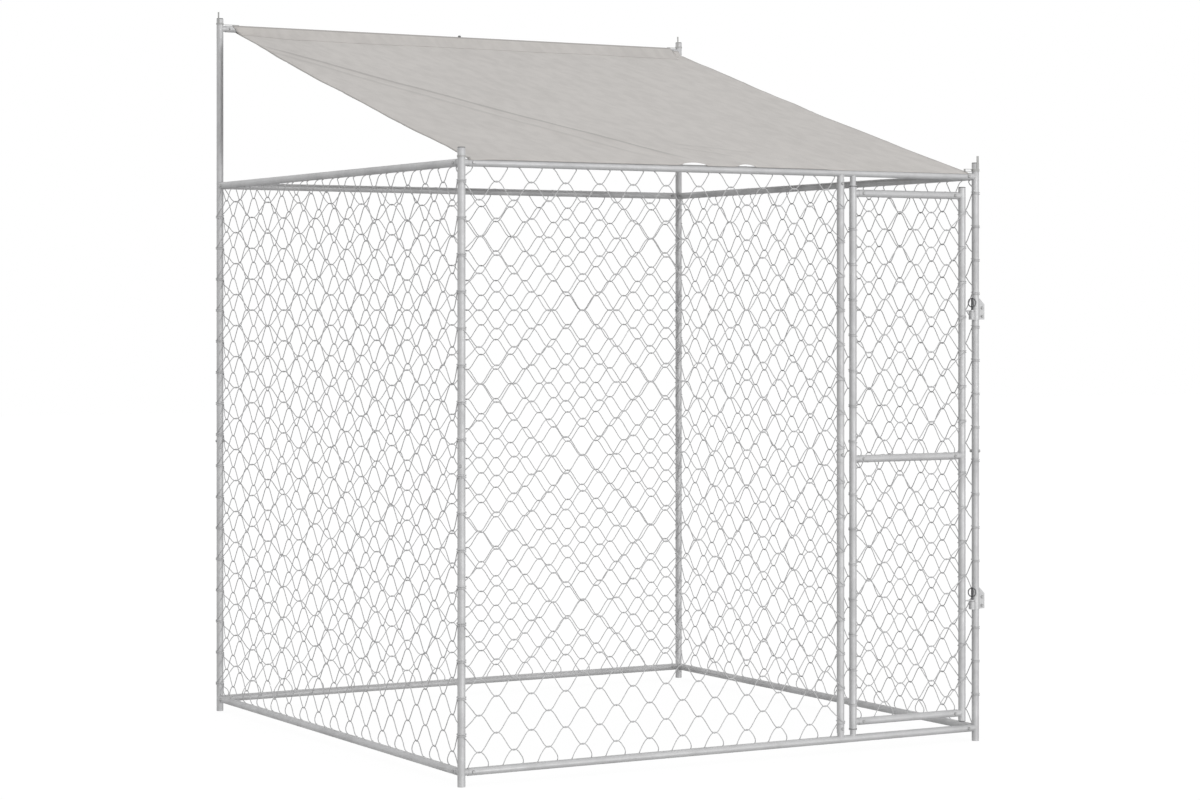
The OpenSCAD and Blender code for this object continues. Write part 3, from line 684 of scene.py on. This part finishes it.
@dataclass
class ChainLinkPanel:
    """One wall of chain link: zigzag wires hooked together, round the rails and round the posts.

    The panel's own axes are length along the wall, depth across it, and height.
    """

    node: str
    body: Body
    side: Side
    start: float
    end: float
    plane: float
    low: float
    high: float
    cols: int
    rows: int
    phase: int
    # Heights where a wire can't go round the first post, and how far it keeps from them
    keep_clear: tuple[Pair, ...] = ()
    clear: float = 0.006
    # How far a leg lies off the wall's plane, how far a bend laps the next one and is rounded off
    depth: float = WIRE_R
    lap: float = WIRE_R
    corner: float = 0.039
    # How far from a post a wire stops that can't go round it, and the turn of one that can
    end_gap: float = 0.024
    post_turn: float = math.radians(250.0)
    # Radius of a wire's centre line round a tube
    wrap_r: float = TUBE_R + WIRE_R + WIRE_GAP
    # A bend on a rail: half its width as a share of a step, at the bottom and at the top; the angles
    # where it touches the rail, is farthest round it and, at a wire's end, stops; the curve before it
    rail_halves: Pair = (0.43, 0.34)
    rail_touch: float = 0.40
    rail_far: float = 2.60
    rail_stop: float = 1.20
    rail_ease: float = 0.014
    # Points round the wire, along each kind of bend, and rounds in which the reach is worked out
    sides: int = 6
    bend_points: int = 9
    rail_points: int = 17
    lead_points: int = 6
    post_points: int = 11
    reach_rounds: int = 8

    @property
    def step(self) -> float:
        """Length between two bends."""
        return (self.end - self.start) / self.cols

    @property
    def rise(self) -> float:
        """Height between two rows of hooks."""
        return (self.high - self.low) / self.rows

    def is_top(self, bend: int, wire: int) -> bool:
        """Whether a wire's bend is one of its upper ones."""
        return (bend + wire + self.phase) % 2 == 0

    def hook_level(self, bend: int, wire: int) -> int:
        """The row of hooks that a bend lies in."""
        return wire + 1 if self.is_top(bend, wire) else wire

    @property
    def reach(self) -> float:
        """How far a sharp corner stands past its row of hooks, for the rounded bend to lap."""
        reach = self.lap
        for _ in range(self.reach_rounds):
            leg = self.rise + 2.0 * reach
            reach = self.lap + 0.5 * self.corner * leg / math.hypot(self.step, leg)
        return reach

    def bend_x(self, bend: int) -> float:
        """A bend's place along the wall."""
        return self.start + bend * self.step

    def hook_z(self, bend: int, wire: int) -> float:
        """Height of the row of hooks that a bend lies in."""
        return self.low + self.hook_level(bend, wire) * self.rise

    def corner_point(self, bend: int, wire: int) -> np.ndarray:
        """The sharp corner that a bend rounds off."""
        out = self.reach if self.is_top(bend, wire) else -self.reach
        return np.array([self.bend_x(bend), self.hook_z(bend, wire) + out])

    def on_rail(self, bend: int, wire: int) -> bool:
        """Whether a bend goes round the panel's top or bottom rail."""
        return self.hook_level(bend, wire) in (0, self.rows)

    def at_top(self, bend: int, wire: int) -> bool:
        """Whether a bend lies in the panel's highest row of hooks."""
        return self.hook_level(bend, wire) == self.rows

    def rail_wrap(self, bend: int, wire: int) -> list[list[float]]:
        """The path of a bend on its rail: round the rail's far side, along it and back again.

        Args:
            bend: the bend's number.
            wire: the wire's number.

        Returns:
            Points as length, depth and height.
        """
        half = self.rail_halves[self.at_top(bend, wire)] * self.step
        points = self.rail_lead(bend, wire, bend - 1)
        for t in np.linspace(0.0, 1.0, self.rail_points)[1:-1]:
            turn = self.rail_touch + (self.rail_far - self.rail_touch) * math.sin(math.pi * t)
            along = self.bend_x(bend) + (2.0 * eased(t) - 1.0) * half
            points.append(self.rail_point(bend, wire, along, turn))
        return points + self.rail_lead(bend, wire, bend + 1)[::-1]

    def rail_point(self, bend: int, wire: int, along: float, turn: float) -> list[float]:
        """A point of a bend on its rail.

        Args:
            bend: the bend's number.
            wire: the wire's number.
            along: the point's place along the wall.
            turn: how far the wire has gone round the rail, from 0 on the side of the net.

        Returns:
            The point as length, depth and height.
        """
        level, out = (self.high, -1.0) if self.at_top(bend, wire) else (self.low, 1.0)
        return [along, self.wrap_r * math.sin(turn), level + out * self.wrap_r * math.cos(turn)]

    def rail_lead(self, bend: int, wire: int, inner: int) -> list[list[float]]:
        """The rounded way from a straight leg to the place where its bend touches the rail.

        Args:
            bend: the bend on the rail.
            wire: the wire's number.
            inner: the neighbouring bend that the leg comes from.

        Returns:
            Points as length, depth and height.
        """
        tip, before = self.corner_point(bend, wire), self.corner_point(inner, wire)
        leg = before - tip
        turn = tip + leg * self.rail_halves[self.at_top(bend, wire)]
        ease = turn + leg / np.linalg.norm(leg) * self.rail_ease
        first = np.array([ease[0], self.leg_sign(min(bend, inner), wire) * self.depth, ease[1]])
        middle = np.array([turn[0], 0.0, turn[1]])
        last = np.array(self.rail_point(bend, wire, turn[0], self.rail_touch))
        shares = np.linspace(0.0, 1.0, self.lead_points)
        return [list(rounded(first, middle, last, t)) for t in shares]

    def post_wrap(self, bend: int, wire: int, sign: float) -> list[list[float]]:
        """The hook of a wire's end round its post, from the post outwards.

        Args:
            bend: 0 or the last bend.
            wire: the wire's number.
            sign: the depth side that the wire arrives on.

        Returns:
            Points as length, depth and height, the first one where the wire meets the post.
        """
        out = -1.0 if bend == 0 else 1.0
        drop = WIRE_R if self.is_top(bend, wire) else -WIRE_R
        points = []
        for t in np.linspace(0.0, 1.0, self.post_points):
            turn = self.post_turn * t
            points.append([
                self.bend_x(bend) + out * self.wrap_r * math.sin(turn),
                sign * self.wrap_r * math.cos(turn),
                self.hook_z(bend, wire) - drop * (1.0 + 2.0 * t),
            ])
        return points

    def free_end(self, bend: int, wire: int) -> bool:
        """Whether a wire can't hook its post there, because a rail or a clamp is in the way."""
        level = self.hook_z(bend, wire)
        clamped = any(low - self.clear < level < high + self.clear for low, high in self.keep_clear)
        return self.on_rail(bend, wire) or (clamped and bend == 0)

    def end_points(self, bend: int, wire: int) -> list[list[float]]:
        """A wire's end that can't hook its post: behind the rail, or a little short of the post."""
        inner = 1 if bend == 0 else bend - 1
        if self.on_rail(bend, wire):
            points = self.rail_lead(bend, wire, inner)
            return points + [self.rail_point(bend, wire, points[-1][0], self.rail_stop)]
        tip, before = self.corner_point(bend, wire), self.corner_point(inner, wire)
        at = tip + (before - tip) * self.end_gap / self.step
        return [[at[0], self.leg_sign(min(bend, inner), wire) * self.depth, at[1]]]

    def end_path(self, bend: int, wire: int) -> list[list[float]]:
        """A wire's end, from the net outwards: round its post, or free."""
        if self.free_end(bend, wire):
            return self.end_points(bend, wire)
        return self.post_wrap(bend, wire, self.leg_sign(min(bend, self.cols - 1), wire))

    def leg_sign(self, leg: int, wire: int) -> float:
        """The depth side of a leg; hooked neighbours lie on opposite sides."""
        return 1.0 if (leg + wire) % 2 == 0 else -1.0

    def round_bend(self, bend: int, wire: int) -> list[list[float]]:
        """The rounded path of a hooked bend.

        Args:
            bend: the bend's number.
            wire: the wire's number.

        Returns:
            Points as length, depth and height.
        """
        tip = self.corner_point(bend, wire)
        before = self.corner_point(bend - 1, wire)
        after = self.corner_point(bend + 1, wire)
        first = tip + (before - tip) / np.linalg.norm(before - tip) * self.corner
        last = tip + (after - tip) / np.linalg.norm(after - tip) * self.corner
        sign = self.leg_sign(bend - 1, wire)
        points = []
        for t in np.linspace(0.0, 1.0, self.bend_points):
            at = rounded(first, tip, last, t)
            points.append([at[0], sign * math.cos(math.pi * t) * self.depth, at[1]])
        return points

    def wire_path(self, wire: int) -> np.ndarray:
        """One wire's path from end to end, as length, depth and height."""
        path = self.end_path(0, wire)[::-1]
        for bend in range(1, self.cols):
            bent = self.rail_wrap if self.on_rail(bend, wire) else self.round_bend
            path += bent(bend, wire)
        return np.array(path + self.end_path(self.cols, wire))

    def to_frame(self, path: np.ndarray) -> np.ndarray:
        """Turns length, depth and height into the CAD frame."""
        length, depth, height = path.T
        if self.side is Side.ALONG_X:
            return np.column_stack([length, self.plane + depth, height])
        return np.column_stack([self.plane + depth, length, height])

    def build(self) -> bpy.types.Object:
        """Builds the wires as one piece that stands for the CAD net."""
        all_points: list[np.ndarray] = []
        all_faces: list[list[int]] = []
        count = 0
        for wire in range(self.rows):
            points, faces = swept(self.to_frame(self.wire_path(wire)), WIRE_R, self.sides, count)
            all_points.append(points)
            all_faces += faces
            count += len(points)
        piece = new_piece(f"{self.node}_wire", np.vstack(all_points), all_faces)
        WIRE_FINISH.dress(piece)
        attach(piece, self.body.value)
        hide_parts(self.node)
        return piece


class Zone(Enum):
    """The stretches of the roof sheet, from its front hem to the flap sewn down on its own top."""

    HEM = "hem"
    SPAN = "span"
    SLEEVE = "sleeve"
    FLAP = "flap"


@dataclass
class RoofCloth:
    """The roof: one sheet from a hem over the front rail to a sleeve round the roof rail.

    It passes under the roof rail, comes back over it, and is sewn down on its own top in front.
    Its right edge runs out to the front of the back right post, and is cut out round that post.
    """

    # Points across and along the span, in the strip beside the cut-out, and rows in the other zones
    across: int = 150
    along: int = 150
    strip_points: int = 12
    hem_rows: int = 7
    sleeve_rows: int = 25
    flap_rows: int = 7
    # The sheet's thickness, and its gaps to the rails and to the cloth that it is sewn on
    thickness: float = 0.0009
    gap: float = 0.0009
    seam_gap: float = 0.0003
    # Where the cut-out round the back right post starts, where the sleeve ends beside it, and how far
    # from the right edge the strip between them starts at the front
    post_cut: float = 0.0205
    sleeve_right: float = RIGHT_X - 0.0435
    strip: float = 0.030
    # The strip's end is turned up beside the post: height, length, and the edge where that fades
    tab: float = 0.021
    tab_run: float = 0.032
    tab_end: float = RIGHT_X - 0.004
    tab_fade: float = 0.012
    # How far in front of the roof rail the sleeve is sewn down: at its left end, and farther in
    landings: Pair = (0.021, 0.075)
    landing_run: float = 0.22
    flap: float = 0.012
    sleeve_lead: float = 0.019
    # The front hem's turn round its rail, and how far it reaches ahead where it is unrolled
    hem_turn: float = math.radians(40.0)
    unrolled: float = 0.008
    # Where the hem stands off its rail: middle, half width and height; how fast it is unrolled there
    ripples: tuple[Point, ...] = ((-0.161, 0.050, 0.0066), (0.038, 0.034, 0.0055))
    ripple_reach: float = 0.07
    unroll: float = 3.0
    # The stretch where the hem lies on the net's wires: fades in, fades out, height
    wired: Point = (LEFT_X + 0.060, DOOR_POST_X - 0.040, 0.0026)
    wired_fade: float = 0.040
    wired_reach: float = 0.15
    # Relief between the rails; a hold says how soon it rises from a rail
    sag: float = 0.008
    folds: tuple[Fold, ...] = ROOF_FOLDS
    fold_hold: float = 12.0
    # Lines left by packing: places as shares of the sheet, then height and spread each way
    packed: tuple[float, ...] = (0.25, 0.5, 0.75)
    packed_across: Pair = (0.0008, 0.010)
    packed_along: Pair = (-0.0006, 0.012)
    # Uneven pull: height, waves a metre across, waves up the slope, and seed
    waves: tuple[tuple[float, ...], ...] = ((0.0040, 3.1, 5.3, 0.7), (0.0014, 11.0, 17.0, 3.1))
    wave_hold: float = 4.0
    # How far the side edges wander, in how many waves, and a seed for each
    wander: float = 0.006
    wander_waves: float = 7.0
    wander_seeds: Pair = (1.0, 9.0)

    @property
    def slope(self) -> float:
        """The roof's angle."""
        return math.atan2(ROOF_Z - TOP_Z, BACK_Y - FRONT_Y)

    @property
    def length(self) -> float:
        """Distance between the axes of the two rails that carry the roof."""
        return math.hypot(BACK_Y - FRONT_Y, ROOF_Z - TOP_Z)

    @property
    def radius(self) -> float:
        """Radius of the sheet's inner face round a rail."""
        return TUBE_R + self.gap

    @property
    def outer(self) -> float:
        """Radius of the sheet's outer face round a rail."""
        return self.radius + self.thickness

    @property
    def flap_top(self) -> float:
        """Height of the flap's top over the underside of the sheet that it is sewn on."""
        return 2.0 * self.thickness + self.seam_gap

    def lead(self, value: float) -> float:
        """How far the sleeve's left end runs out past the sheet's corner, most on the rail's top."""
        turn = value * self.sleeve_turn(CLOTH_LEFT[1])
        if turn <= math.pi:
            return self.sleeve_lead * turn / math.pi
        drop = self.outer - self.flap_top
        return self.sleeve_lead * (drop - self.outer * math.cos(turn)) / (drop + self.outer)

    def landing(self, x: float) -> float:
        """How far in front of the roof rail the sleeve is sewn down."""
        near, far = self.landings
        return near + (far - near) * eased((x - CLOTH_LEFT[1]) / self.landing_run)

    def sleeve_turn(self, x: float) -> float:
        """How far the sleeve goes round the roof rail before it runs straight to its seam."""
        drop, landing = self.outer - self.flap_top, self.landing(x)
        touch = math.asin(self.outer / math.hypot(landing, drop))
        return math.pi + math.atan2(drop, landing) + touch

    @property
    def cut_share(self) -> float:
        """Share of the slope at which the cut-out round the back right post starts."""
        return 1.0 - self.post_cut / self.length

    def stations(self) -> list[tuple[Zone, float]]:
        """The sheet's rows: a turn in the hem, a share of the run elsewhere."""
        rows = [(Zone.HEM, turn) for turn in np.linspace(self.hem_turn, 0.0, self.hem_rows)[:-1]]
        rows += [(Zone.SPAN, t) for t in np.linspace(0.0, self.cut_share, self.along)]
        rows.append((Zone.SPAN, 1.0))
        rows += [(Zone.SLEEVE, t) for t in np.linspace(0.0, 1.0, self.sleeve_rows)[1:]]
        rows += [(Zone.FLAP, t) for t in np.linspace(0.0, 1.0, self.flap_rows)]
        return rows

    def over_wire(self, x: float) -> float:
        """How far the front hem is lifted by the wires that go round its rail."""
        start, end, height = self.wired
        return height * eased(min(x - start, end - x) / self.wired_fade)

    def ripple(self, x: float) -> tuple[float, float]:
        """How far the front hem stands off, and how far it is unrolled, from 0 to 1."""
        height, opened = 0.0, 0.0
        for middle, half, size in self.ripples:
            bow = max(0.0, 1.0 - ((x - middle) / half) ** 2)
            height += size * bow
            opened += min(1.0, self.unroll * bow)
        return height, opened

    def relief(self, x: float, t: float) -> float:
        """How far the cloth stands off its plane between the rails.

        Args:
            x: place across the roof, in metres.
            t: share of the way from the front rail to the roof rail.

        Returns:
            Height, in metres.
        """
        free, wide = math.sin(math.pi * t), RIGHT_X - LEFT_X
        height = -self.sag * free
        height += sum(fold.lift(x, t) for fold in self.folds) * min(1.0, self.fold_hold * free)
        for place in self.packed:
            size, spread = self.packed_across
            height += size * bell((t - place) * self.length, spread)
            size, spread = self.packed_along
            height += size * bell(x - LEFT_X - place * wide, spread) * free
        pull = sum(size * noise.noise(Vector((x * across, t * along, seed)))
                   for size, across, along, seed in self.waves)
        height += pull * min(1.0, self.wave_hold * free)
        height += self.over_wire(x) * bell(t * self.length, self.wired_reach)
        return height + self.ripple(x)[0] * bell(t * self.length, self.ripple_reach)

    def span_level(self, x: float, t: float) -> float:
        """Height of the sheet's underside, from on the front rail to under the roof rail."""
        level = self.radius - t * (self.radius + self.outer) + self.relief(x, t)
        if x <= self.sleeve_right:
            return level
        near = eased(1.0 - (self.cut_share - t) * self.length / self.tab_run)
        return level + self.tab * near * eased((self.tab_end - x) / self.tab_fade)

    def off_plane(self, zone: Zone, value: float, x: float) -> tuple[float, float]:
        """A point of the sheet, as distance up the slope and height off the rails' plane.

        Args:
            zone: the stretch that the row lies in.
            value: the row's turn or share.
            x: place across the roof, in metres.

        Returns:
            Distance and height, in metres.
        """
        if zone is Zone.HEM:
            height, opened = self.ripple(x)
            turn, radius = value * (1.0 - opened), self.radius + height + self.over_wire(x)
            ahead = self.radius * math.sin(turn) + self.unrolled * opened * value / self.hem_turn
            return -ahead, radius * math.cos(turn)
        if zone is Zone.SPAN:
            return value * self.length, self.span_level(x, value)
        if zone is Zone.SLEEVE:
            turn = value * self.sleeve_turn(x)
            return self.length + self.outer * math.sin(turn), -self.outer * math.cos(turn)
        up = self.length - self.landing(x) - value * self.flap
        return up, self.span_level(x, up / self.length) + self.flap_top

    def edge_shift(self, t: float, seed: float) -> float:
        """How far a side edge wanders in or out."""
        wave = noise.noise(Vector((t * self.wander_waves, seed, 0.0)))
        return self.wander * wave * math.sin(math.pi * t)

    def columns(self, zone: Zone, value: float) -> list[float]:
        """The places across the roof of one row's points.

        Args:
            zone: the stretch that the row lies in.
            value: the row's turn or share.

        Returns:
            Places from the left edge to the right one; rows behind the cut-out have fewer.
        """
        t = {Zone.HEM: 0.0, Zone.SPAN: value}.get(zone, 1.0)
        share = min(1.0, t / self.cut_share)
        left_seed, right_seed = self.wander_seeds
        left = CLOTH_LEFT[0] + (CLOTH_LEFT[1] - CLOTH_LEFT[0]) * t + self.edge_shift(t, left_seed)
        if zone is Zone.SLEEVE:
            left -= self.lead(value)
        shift = self.edge_shift(share, right_seed)

        def edge(front: float, back: float) -> float:
            """The place of an edge in this row."""
            return front + (back - front) * share + shift

        sleeve = edge(CLOTH_RIGHT[0] - self.strip, self.sleeve_right)
        right = edge(*CLOTH_RIGHT)
        places = list(np.linspace(left, sleeve, self.across + 1))
        if zone in (Zone.HEM, Zone.SPAN) and t <= self.cut_share:
            places += list(np.linspace(sleeve, right, self.strip_points)[1:])
        return places

    def build(self) -> bpy.types.Object:
        cos, sin = math.cos(self.slope), math.sin(self.slope)
        points: list[Point] = []
        rows: list[list[int]] = []
        for zone, value in self.stations():
            row = []
            for x in self.columns(zone, value):
                up, off = self.off_plane(zone, value, x)
                row.append(len(points))
                points.append((x, FRONT_Y + up * cos - off * sin, TOP_Z + up * sin + off * cos))
            rows.append(row)
        faces = []
        for low, high in zip(rows, rows[1:]):
            for j in range(min(len(low), len(high)) - 1):
                faces.append([low[j], low[j + 1], high[j + 1], high[j]])
        piece = new_piece("roof_sheet", np.array(points), faces)
        solid = piece.modifiers.new("thickness", "SOLIDIFY")
        solid.thickness = self.thickness
        solid.offset = 1.0
        CLOTH_FINISH.dress(piece)
        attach(piece, Body.FRAME.value)
        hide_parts("roof_cloth")
        self.flat_size()
        self.flat_area()
        return piece

    @property
    def sleeve_length(self) -> float:
        """Length of cloth in the sleeve, from under the roof rail to the flap's end."""
        x = self.sleeve_right
        drop = self.outer - self.flap_top
        straight = math.sqrt(self.landing(x) ** 2 + drop ** 2 - self.outer ** 2)
        return self.outer * self.sleeve_turn(x) + straight + self.flap

    def flat_size(self) -> Pair:
        """The cut's box: widest width, and length with hem and sleeve."""
        width = max(CLOTH_RIGHT) - min(CLOTH_LEFT)
        return width, self.length + self.radius * self.hem_turn + self.sleeve_length

    def flat_area(self) -> float:
        """The cut's area: hem, tapered span and sleeve."""
        front = CLOTH_RIGHT[0] - CLOTH_LEFT[0]
        back = CLOTH_RIGHT[1] - CLOTH_LEFT[1]
        wide = self.sleeve_right - CLOTH_LEFT[1]
        hem = front * self.radius * self.hem_turn
        return hem + (front + back) / 2 * self.length + wide * self.sleeve_length


@dataclass
class RoofKnot:
    """The small dark knot that shows on the sleeve, about half way along the roof rail."""

    # Its middle, a little in front of the roof rail's axis and on top of the sleeve, and half sizes
    place: Point = (-0.010, BACK_Y - 0.002, ROOF_Z + 0.0165)
    half: Point = (0.0065, 0.0050, 0.0040)
    rings: int = 8
    sides: int = 14

    def build(self) -> bpy.types.Object:
        """Builds the knot as a small flattened ball that rests on the sleeve."""
        points: list[Point] = []
        for ring in range(1, self.rings):
            tilt = math.pi * ring / self.rings
            for side in range(self.sides):
                turn = 2.0 * math.pi * side / self.sides
                out = math.sin(tilt)
                points.append((out * math.cos(turn), out * math.sin(turn), math.cos(tilt)))
        top, bottom = len(points), len(points) + 1
        points += [(0.0, 0.0, 1.0), (0.0, 0.0, -1.0)]
        faces = []
        last = (self.rings - 2) * self.sides
        for j in range(self.sides):
            k = (j + 1) % self.sides
            faces += [[top, j, k], [bottom, last + k, last + j]]
            for first in range(0, last, self.sides):
                faces.append([first + j, first + self.sides + j, first + self.sides + k, first + k])
        shaped = np.array(points) * np.array(self.half) + np.array(self.place)
        piece = new_piece("roof_knot", shaped, faces)
        CAP_FINISH.dress(piece)
        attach(piece, Body.FRAME.value)
        return piece


@dataclass
class TubeFrame:
    """The CAD solids that stay, each with its finish."""

    finishes: dict[str, Finish] = field(default_factory=lambda: {
        "galvanised_tube": TUBE_FINISH,
        "zinc_fasteners": BOLT_FINISH,
        "latch_steel": LATCH_FINISH,
        "dark_pin": PIN_FINISH,
        "cap_plastic": CAP_FINISH,
        "bush_plastic": BUSH_FINISH,
        "tie_plastic": TIE_FINISH,
    })

    def dress(self) -> int:
        """Dresses every CAD node that isn't replaced.

        Returns:
            How many nodes were dressed.
        """
        done = 0
        for part in frame["record"]["subparts"]:
            finish = self.finishes.get(part["material_slot"])
            if finish is not None:
                finish.dress(frame["nodes"][part["node"]])
                done += 1
        return done


@dataclass
class Studio:
    """Floor, light and the photo's camera."""

    eye: Point = (-5.0761, -9.0643, 1.4801)
    yaw: float = 0.515
    lens: float = 87.46
    shift_y: float = -0.0753
    sensor: float = 36.0
    floor_size: float = 60.0
    floor_drop: float = 0.0005
    sky: float = 0.755
    # Low lamps, so that light passes under the roof's front edge: name, place and watts
    lamps: tuple[tuple[str, Point, float], ...] = (
        ("key", (3.8, -17.8, 0.85), 800.0),
        ("fill", (-8.5, -15.5, 0.85), 235.0),
    )
    lamp_size: float = 1.5
    aim: Point = (0.0, 0.0, 1.2)

    def floor(self) -> None:
        """Lays the floor."""
        half = self.floor_size / 2
        plan = ((-half, -half), (half, -half), (half, half), (-half, half))
        corners = np.array([(x, y, -self.floor_drop) for x, y in plan])
        piece = new_piece("floor", corners, [[0, 1, 2, 3]])
        FLOOR_FINISH.dress(piece)

    def world(self) -> None:
        """Sets a plain sky that is white where it is seen."""
        world = bpy.data.worlds.new("studio")
        bpy.context.scene.world = world
        world.use_nodes = True
        recipe = Recipe(world.node_tree)
        strength = self.sky + recipe.seen() * (1.0 - self.sky)
        sky = recipe.make("ShaderNodeBackground", None, {"Color": WHITE, "Strength": strength})
        recipe.make("ShaderNodeOutputWorld", None, {"Surface": sky})

    def lamp(self, name: str, place: Point, power: float) -> None:
        """Sets up one soft square lamp.

        Args:
            name: the lamp's name.
            place: where it stands.
            power: watts.
        """
        data = bpy.data.lights.new(name, "AREA")
        data.shape = "SQUARE"
        data.size = self.lamp_size
        data.energy = power
        lamp = bpy.data.objects.new(name, data)
        lamp.location = place
        lamp.rotation_euler = (Vector(self.aim) - Vector(place)).to_track_quat("-Z", "Y").to_euler()
        bpy.context.scene.collection.objects.link(lamp)

    def camera(self) -> None:
        """Sets the camera that the photo was fitted with."""
        data = bpy.data.cameras.new("camera")
        data.sensor_width = self.sensor
        data.lens = self.lens
        data.shift_y = self.shift_y
        camera = bpy.data.objects.new("camera", data)
        camera.location = self.eye
        camera.rotation_euler = (math.pi / 2, 0.0, -self.yaw)
        bpy.context.scene.collection.objects.link(camera)
        bpy.context.scene.camera = camera

    def build(self) -> None:
        """Builds the studio."""
        self.floor()
        self.world()
        for name, place, power in self.lamps:
            self.lamp(name, place, power)
        self.camera()
        bpy.context.scene.view_settings.view_transform = "Standard"


def panels() -> list[ChainLinkPanel]:
    """The run's six stretches of chain link."""
    walls = (Body.FRAME, Side.ALONG_X)
    sides = (Body.FRAME, Side.ALONG_Y, FRONT_Y, BACK_Y)
    door = (Body.DOOR, Side.ALONG_X, HINGE_X, LATCH_X, FRONT_Y)
    tall = (BOTTOM_Z, TOP_Z)
    return [
        ChainLinkPanel("front_net", *walls, LEFT_X, DOOR_POST_X, FRONT_Y, *tall, *FRONT_NET, phase=1),
        ChainLinkPanel("back_net", *walls, LEFT_X, RIGHT_X, BACK_Y, *tall, *WALL_NET, phase=0),
        ChainLinkPanel("left_net", *sides, LEFT_X, *tall, *WALL_NET, phase=1),
        ChainLinkPanel("right_net", *sides, RIGHT_X, *tall, *WALL_NET, phase=1, keep_clear=CLAMP_SPANS),
        ChainLinkPanel("door_lower_net", *door, DOOR_LOW_Z, DOOR_MID_Z, *DOOR_NET, phase=0),
        ChainLinkPanel("door_upper_net", *door, DOOR_MID_Z, DOOR_TOP_Z, *DOOR_NET, phase=0),
    ]


def main() -> None:
    """Builds the pieces in order and reports them."""
    logging.basicConfig(level=logging.INFO, format="%(message)s")
    LOG.info("finishes on %d solids", TubeFrame().dress())
    for panel in panels():
        LOG.info("%s: %d points", panel.node, len(panel.build().data.vertices))
    LOG.info("roof: %s, %s", RoofCloth().build().name, RoofKnot().build().name)
    Studio().build()
    bpy.context.view_layer.update()


if __name__ == "__main__":
    main()
